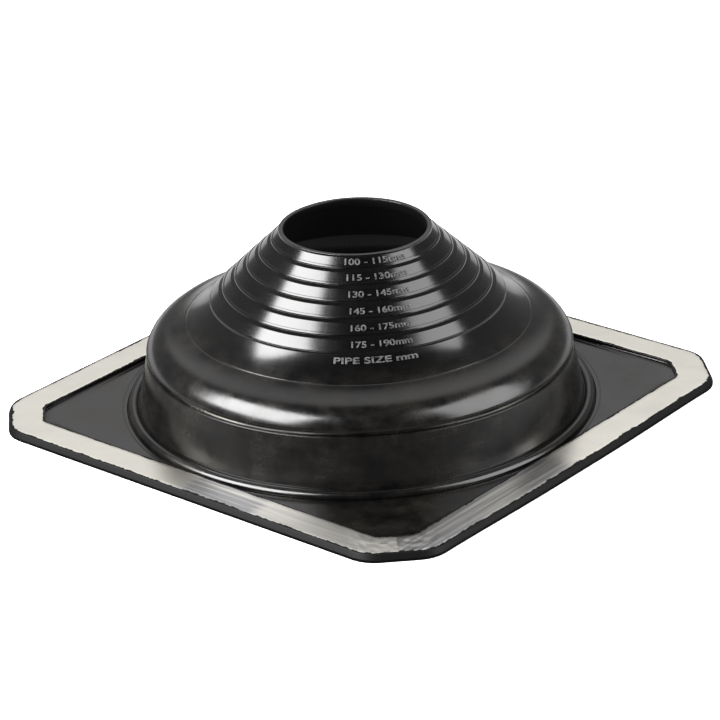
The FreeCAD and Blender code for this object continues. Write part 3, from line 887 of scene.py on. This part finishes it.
def wrap_on_cone(mesh, start, stop, along, direction, relief):
    """Bend a flat row round the cone, at a distance down the slope from start towards stop."""
    way = (stop - start).normalized()
    out = Vector((-way.y, way.x))
    middle = start + way * along
    for vertex in mesh.vertices:
        place = middle - way * vertex.co.y + out * (vertex.co.z * 2 - 1) * relief
        turn = direction + vertex.co.x / middle.x
        radius = place.x + mouth_pinch(turn, place.y)
        vertex.co = Vector((radius * math.cos(turn), radius * math.sin(turn), place.y))


def make_marks(context):
    """Raised numbers on the bands, with a plain legend under them."""
    marks = context.scene.mark_sizes
    boot = context.scene.boot_sizes
    rows = []
    faces = bands(boot)
    for number, (start, stop) in enumerate(faces):
        text = f"{PIPE_SIZES[number]} - {PIPE_SIZES[number + 1]}mm"
        turn = marks.row_turn * (1 - number / boot.ring_count)
        along = (stop - start).length * 0.5 - 0.5 * MM
        rows.append((text, marks.row_width, start, stop, along, turn))
    crease = dome_points(boot)["crease"]
    rows.append((LEGEND, marks.legend_width, faces[-1][1], crease, marks.legend_drop, marks.legend_turn))
    vertices = []
    polygons = []
    for text, width, start, stop, along, turn in rows:
        mesh = figures(text, width, marks.letter_height)
        wrap_on_cone(mesh, start, stop, along, marks.direction + turn, marks.relief)
        first = len(vertices)
        vertices += [vertex.co[:] for vertex in mesh.vertices]
        polygons += [[first + corner for corner in face.vertices] for face in mesh.polygons]
        bpy.data.meshes.remove(mesh)
    result = bpy.data.meshes.new("size_marks")
    result.from_pydata(vertices, [], polygons)
    # The marks' material paints a sheen on them as lighter grey, along with dust.
    result.materials.append(finished("dusty rubber with painted sheen", dusty_marks_with_painted_sheen, context))
    keep_piece("size_marks", result)


# ---------------------------------------------------------------- materials

def finished(name, paint, context):
    """The material of that name. It is painted the first time it is asked for."""
    known = bpy.data.materials.get(name)
    if known:
        return known
    material = bpy.data.materials.new(name)
    material.use_nodes = True
    material.node_tree.nodes.clear()
    shader = paint(Board(material.node_tree), context.scene.finishes)
    output = material.node_tree.nodes.new("ShaderNodeOutputMaterial")
    material.node_tree.links.new(shader.socket, output.inputs["Surface"])
    return material


def object_place(board):
    """Where on the piece a point is, in metres."""
    return board.add("ShaderNodeTexCoord", output="object")


def rubber(board, finish):
    """Black moulded rubber: a soft gloss, fine marks from the mould and a smudgy brownish film."""
    place = object_place(board)
    x, y, z = board.split(place)
    radius = board.maths("SQRT", x * x + y * y)
    turn = board.maths("ARCTAN2", y, x)
    on_cone = board.fade(z, 50 * MM, 62 * MM)
    smudge = board.noise(place, 24.0, detail=4.0, roughness=0.62, distortion=0.6, seed=1.0)
    streak = board.noise(board.vector(turn * 60.0, radius * 18.0, z * 18.0), 1.0, detail=3.0, seed=2.0)
    rings = board.vector(turn * 1.4, radius * 900.0, z * 900.0)
    ring_marks = board.noise(rings, 1.0, detail=2.0, seed=4.0)
    grain = board.noise(place, 1800.0, detail=2.0, seed=6.0)
    wiped = board.vector(turn * 9.0, radius * 60.0, z * 420.0)
    wiped = board.noise(wiped, 1.0, detail=4.0, seed=11.0)
    mottle = board.noise(place, 75.0, detail=5.0, roughness=0.65, distortion=0.4, seed=14.0)
    cloud = smudge * 0.5 + mottle * 0.35 + wiped * 0.15
    film = board.fade(cloud, 0.40, 0.66) * board.fade(on_cone, 0.0, 1.0, 1.0, 0.25)
    base = board.blend(film * 0.5, (*finish.rubber, 1), (*finish.bloom, 1))
    roughness = finish.rubber_gloss + 0.14 * film + 0.05 * (streak - 0.5) + 0.03 * (1 - on_cone)
    height = streak * 0.25 * on_cone + ring_marks * 0.12 + grain * 0.10 + smudge * 0.6 * (1 - on_cone)
    line = board.fade(board.maths("ABSOLUTE", radius - WEB_LINE), 0.0, 0.5 * MM, 6.0, 0.0)
    height = height + line * (z < 3 * MM)
    bump = board.add("ShaderNodeBump", strength=0.25, distance=0.1 * MM, height=height)
    return board.add("ShaderNodeBsdfPrincipled", base_color=base, roughness=roughness, normal=bump,
                     ior=1.5)


def torn_rubber(board, finish):
    """Dull rubber, for the cut rim, the inside and the torn film along the strips."""
    return board.add("ShaderNodeBsdfPrincipled", base_color=(*finish.rubber, 1), roughness=0.5, ior=1.25)


def dusty_marks_with_painted_sheen(board, finish):
    """The same rubber on the raised marks, made lighter grey: partly dust and partly a painted sheen for the
    light their rough faces catch.
    """
    patches = board.noise(object_place(board), 900.0, detail=3.0, roughness=0.6, seed=8.0)
    base = board.blend(board.fade(patches, 0.35, 0.65), (*finish.rubber, 1), (*finish.wear_and_painted_light, 1))
    return board.add("ShaderNodeBsdfPrincipled", base_color=base, roughness=0.5, ior=1.5)


def aluminium(board, finish):
    """Soft aluminium sheet with fine lines along each side, and two darker patches near one corner that are
    partly wear from rubbing and partly painted shade.
    """
    place = object_place(board)
    x, y, _ = board.split(place)
    sideways = board.maths("ABSOLUTE", x) > board.maths("ABSOLUTE", y)
    across = x * sideways + y * (1 - sideways)
    along = y * sideways + x * (1 - sideways)
    lines = board.noise(board.vector(across * 1500.0, along * 25.0, 0.0), 1.0, detail=3.0, seed=1.0)
    blotch = board.noise(place, 30.0, detail=3.0, roughness=0.6, seed=2.0)
    scuff = board.noise(board.vector(across * 300.0, along * 60.0, 0.0), 1.0, detail=4.0, seed=5.0)
    in_front = (y < 0) * (1 - sideways)
    # Painted shade: the front strip and the front end of the right strip are made darker by place, partly as
    # wear and partly as their darker reflections.
    brushed_and_shaded = board.fade(x, -8 * MM, 4 * MM) * board.fade(x, 42 * MM, 54 * MM, 1.0, 0.35) * in_front
    rubbed_and_shaded = board.fade(y, -14 * MM, 2 * MM, 1.0, 0.0) * (x > 0) * sideways
    streaks = board.noise(board.vector(across * 420.0, along * 12.0, 0.0), 1.0, detail=4.0, seed=9.0)
    # Random blotches, plus the patches above, which hold painted shade.
    wear_and_painted_light = board.fade(blotch, 0.45, 0.75) * 0.12
    patches = board.maths("MAXIMUM", brushed_and_shaded * 1.3, rubbed_and_shaded)
    wear_and_painted_light = board.maths("MINIMUM", wear_and_painted_light + patches * board.fade(streaks, 0.3, 0.65, 0.25, 1.0), 1.0)
    base = board.blend(wear_and_painted_light, (*finish.aluminium, 1), (*finish.rubbed_and_shaded_aluminium, 1))
    roughness = finish.aluminium_gloss + 0.10 * (blotch - 0.5) + 0.12 * (lines - 0.5) + 0.1 * brushed_and_shaded
    height = lines * 0.5 + scuff * 0.3
    bump = board.add("ShaderNodeBump", strength=0.3, distance=0.06 * MM, height=height)
    return board.add("ShaderNodeBsdfPrincipled", base_color=base, metallic=1.0, roughness=roughness,
                     normal=bump)


def pale_floor(board, finish):
    """Matt floor that looks white to the camera and keeps the object's shadow. Under the boot its glow is
    left out, a painted shade seen through the opening. Gloss sees it darker, with painted shade near the
    boot and towards the camera.
    """
    x, y, _ = board.split(object_place(board))
    radius = board.maths("SQRT", x * x + y * y)
    side, front = toward_camera(bpy.context.scene.stage_sizes.azimuth)
    forward = x * side + y * front
    matt = board.add("ShaderNodeBsdfDiffuse", color=(*finish.floor, 1))
    # Painted shade: the camera glow is left out under the boot, so its hollow looks dark through the
    # opening.
    glow = board.blend(board.fade(radius, 120 * MM, 150 * MM, 0.0, 0.62), DARK, WHITE)
    both = board.add("ShaderNodeAddShader", n0=matt, n1=board.add("ShaderNodeEmission", color=glow))
    # Painted shade: what gloss sees of the floor is dark near the boot and darker on the side towards the
    # camera.
    level = board.fade(radius, 170 * MM, 340 * MM, 0.06, 0.95) * board.fade(forward, 0.1, 0.4, 1.0, 0.15)
    gloss_floor_with_painted_shade = board.add("ShaderNodeEmission", color=board.blend(level, DARK, WHITE))
    rays = board.add("ShaderNodeLightPath").socket.node.outputs
    lit = board.add("ShaderNodeMixShader", n0=Number(board, rays["Is Camera Ray"]), n1=matt, n2=both)
    return board.add("ShaderNodeMixShader", n0=Number(board, rays["Is Glossy Ray"]), n1=lit, n2=gloss_floor_with_painted_shade)


# ---------------------------------------------------------------- stage

def toward_camera(azimuth):
    """The level direction, as x and y, towards a camera at that azimuth."""
    return math.sin(azimuth), -math.cos(azimuth)


def skyward(azimuth, elevation):
    """The direction towards a point at that azimuth and elevation."""
    x, y = toward_camera(azimuth)
    return Vector((x * math.cos(elevation), y * math.cos(elevation), math.sin(elevation)))


def turned_to(place, target, up):
    """A matrix at a place that looks at a target, with its top towards up."""
    back = (place - target).normalized()
    right = up.cross(back).normalized()
    axes = Matrix((right, back.cross(right), back)).transposed().to_4x4()
    return Matrix.Translation(place) @ axes


def make_camera(context):
    stage = context.scene.stage_sizes
    back = skyward(stage.azimuth, stage.elevation)
    level = Vector((math.cos(stage.azimuth), math.sin(stage.azimuth), 0))
    right = level * math.cos(stage.roll) + back.cross(level) * math.sin(stage.roll)
    up = back.cross(right)
    middle = Vector((0, 0, context.scene.flange_sizes.height))
    aim = middle + up * stage.aim_up + right * stage.aim_right
    data = bpy.data.cameras.new("camera")
    data.lens = stage.lens
    data.sensor_width = 36
    camera = put_in_scene("camera", data)
    camera.matrix_world = turned_to(middle + back * stage.distance, aim, up)
    context.scene.camera = camera


def make_softbox(context, name, watts):
    """An area light at its angle round from the camera, aimed at the cone."""
    box = SOFTBOXES[name]
    azimuth = context.scene.stage_sizes.azimuth + math.radians(box["turn"])
    target = Vector((0, 0, 60 * MM))
    data = bpy.data.lights.new(name, "AREA")
    data.shape = "RECTANGLE"
    data.size, data.size_y = box["size"]
    data.energy = watts
    place = target + skyward(azimuth, math.radians(box["elevation"])) * box["distance"]
    put_in_scene(name, data).matrix_world = turned_to(place, target, Vector((0, 0, 1)))


def make_floor(context):
    half = 4.0
    corners = [(-half, -half, 0), (half, -half, 0), (half, half, 0), (-half, half, 0)]
    mesh = bpy.data.meshes.new("floor")
    mesh.from_pydata(corners, [], [(0, 1, 2, 3)])
    mesh.materials.append(finished("pale floor", pale_floor, context))
    floor = put_in_scene("floor", mesh)
    floor.location.z = -0.1 * MM


def make_world(context):
    """White all round for the camera. Gloss sees a dark room, lighter and with a window behind."""
    azimuth = context.scene.stage_sizes.azimuth
    world = bpy.data.worlds.new("studio")
    world.use_nodes = True
    world.node_tree.nodes.clear()
    board = Board(world.node_tree)
    direction = board.add("ShaderNodeTexCoord", output="generated")
    away = board.dot(direction, skyward(azimuth + math.pi, 0))
    window = board.dot(direction, skyward(azimuth + math.pi, math.radians(49)))
    level = board.fade(away, -0.1, 0.35, 0.03, 0.24) + board.fade(window, 0.83, 0.945, 0.0, 0.76)
    rays = board.add("ShaderNodeLightPath").socket.node.outputs
    seen = board.maths("MAXIMUM", Number(board, rays["Is Camera Ray"]),
                       Number(board, rays["Is Transmission Ray"]))
    shade = board.blend(board.maths("MAXIMUM", level, seen), DARK, WHITE)
    background = board.add("ShaderNodeBackground", color=shade)
    output = world.node_tree.nodes.new("ShaderNodeOutputWorld")
    world.node_tree.links.new(background.socket, output.inputs["Surface"])
    context.scene.world = world


# ---------------------------------------------------------------- operators and panel

class FLASHING_OT_boot(bpy.types.Operator):
    """Make the moulded rubber boot"""
    bl_idname = "flashing.boot"
    bl_label = "Rubber boot"

    def execute(self, context):
        make_boot(context)
        return {"FINISHED"}


class FLASHING_OT_strips(bpy.types.Operator):
    """Make the four aluminium strips"""
    bl_idname = "flashing.strips"
    bl_label = "Aluminium strips"

    def execute(self, context):
        make_strips(context)
        return {"FINISHED"}


class FLASHING_OT_flash(bpy.types.Operator):
    """Make the ragged rubber flash along the strips"""
    bl_idname = "flashing.flash"
    bl_label = "Rubber flash"

    def execute(self, context):
        make_flash(context)
        return {"FINISHED"}


class FLASHING_OT_marks(bpy.types.Operator):
    """Make the raised numbers on the cone"""
    bl_idname = "flashing.marks"
    bl_label = "Size marks"

    def execute(self, context):
        make_marks(context)
        return {"FINISHED"}


class FLASHING_OT_stage(bpy.types.Operator):
    """Make the floor, lights, background and camera"""
    bl_idname = "flashing.stage"
    bl_label = "Stage"

    def execute(self, context):
        make_floor(context)
        make_world(context)
        make_camera(context)
        stage = context.scene.stage_sizes
        make_softbox(context, "key", stage.key_power)
        make_softbox(context, "fill", stage.fill_power)
        context.scene.view_settings.view_transform = "Standard"
        return {"FINISHED"}


class FLASHING_PT_panel(bpy.types.Panel):
    """Lists the pieces and their sizes"""
    bl_idname = "FLASHING_PT_panel"
    bl_label = "Pipe flashing boot"
    bl_space_type = "VIEW_3D"
    bl_region_type = "UI"
    bl_category = "Flashing"

    def draw(self, context):
        for operator in OPERATORS:
            self.layout.operator(operator.bl_idname)
        for attribute in GROUPS:
            box = self.layout.box()
            group = getattr(context.scene, attribute)
            for name in group.__annotations__:
                box.prop(group, name)


GROUPS = {"boot_sizes": BootSizes, "flange_sizes": FlangeSizes, "mark_sizes": MarkSizes,
          "finishes": Finishes, "stage_sizes": StageSizes}
OPERATORS = (FLASHING_OT_boot, FLASHING_OT_strips, FLASHING_OT_flash, FLASHING_OT_marks, FLASHING_OT_stage)


def register():
    for cls in (*GROUPS.values(), *OPERATORS, FLASHING_PT_panel):
        bpy.utils.register_class(cls)
    for attribute, group in GROUPS.items():
        setattr(bpy.types.Scene, attribute, PointerProperty(type=group))


def unregister():
    for attribute in GROUPS:
        delattr(bpy.types.Scene, attribute)
    for cls in reversed((*GROUPS.values(), *OPERATORS, FLASHING_PT_panel)):
        bpy.utils.unregister_class(cls)


def main():
    register()
    bpy.ops.flashing.boot()
    bpy.ops.flashing.strips()
    bpy.ops.flashing.flash()
    bpy.ops.flashing.marks()
    bpy.ops.flashing.stage()


if __name__ == "__main__":
    main()
